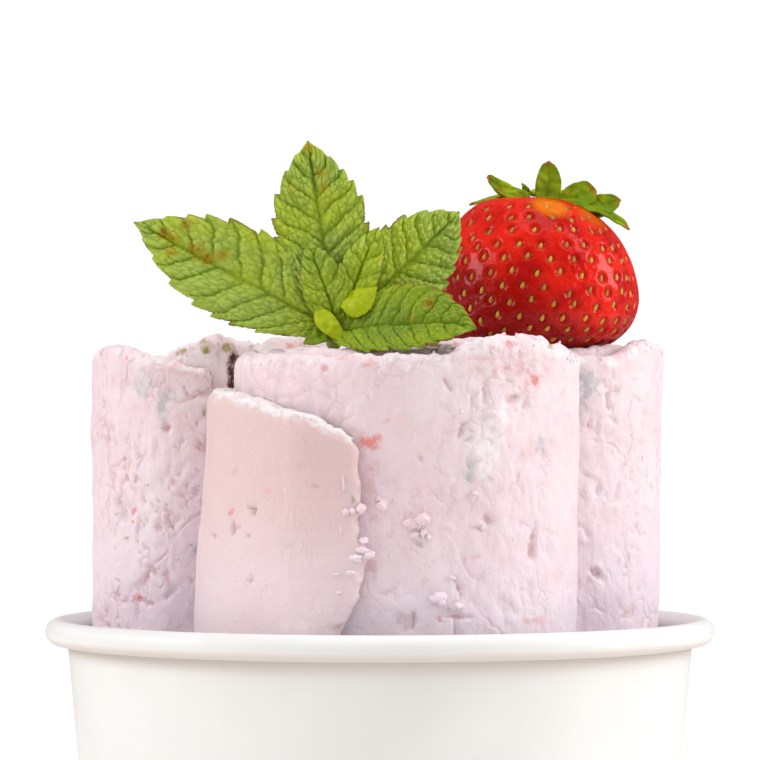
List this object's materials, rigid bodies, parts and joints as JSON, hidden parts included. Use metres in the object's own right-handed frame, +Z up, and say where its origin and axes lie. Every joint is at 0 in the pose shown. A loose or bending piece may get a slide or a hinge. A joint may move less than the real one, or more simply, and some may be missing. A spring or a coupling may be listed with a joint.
{
  "type": "rolled ice cream",
  "caption": "Rolled ice cream: upright rolls of thin pale pink ice cream sheet in a round white paper cup, topped with a mint sprig and a strawberry.",
  "frame": {"origin": "on the cup's axis, in the plane that the cup's foot stands on", "axes": "+Z up along the cup's axis; the shown side faces -Y"},
  "size_m": [0.0994, 0.0994, 0.1315],
  "materials": {
    "white_paper": "matte white coated paperboard, smooth rolled rim",
    "pink_ice_cream": "frozen dense cream, matte and slightly waxy, scraped in vertical streaks, flecked red and grey",
    "mint_leaf": "fresh puckered leaf with recessed veins, low sheen",
    "strawberry_skin": "glossy wet red skin with golden seeds in dimples",
    "calyx_leaf": "thin green sepals with dry brown tips"
  },
  "bodies": {
    "root": {"cup_wall": "white_paper", "cup_base": "white_paper", "roll_front": "pink_ice_cream", "roll_left": "pink_ice_cream", "roll_right": "pink_ice_cream", "roll_back": "pink_ice_cream", "mint_sprig": "mint_leaf", "strawberry": "strawberry_skin", "strawberry_calyx": "calyx_leaf"}
  },
  "joints": []
}
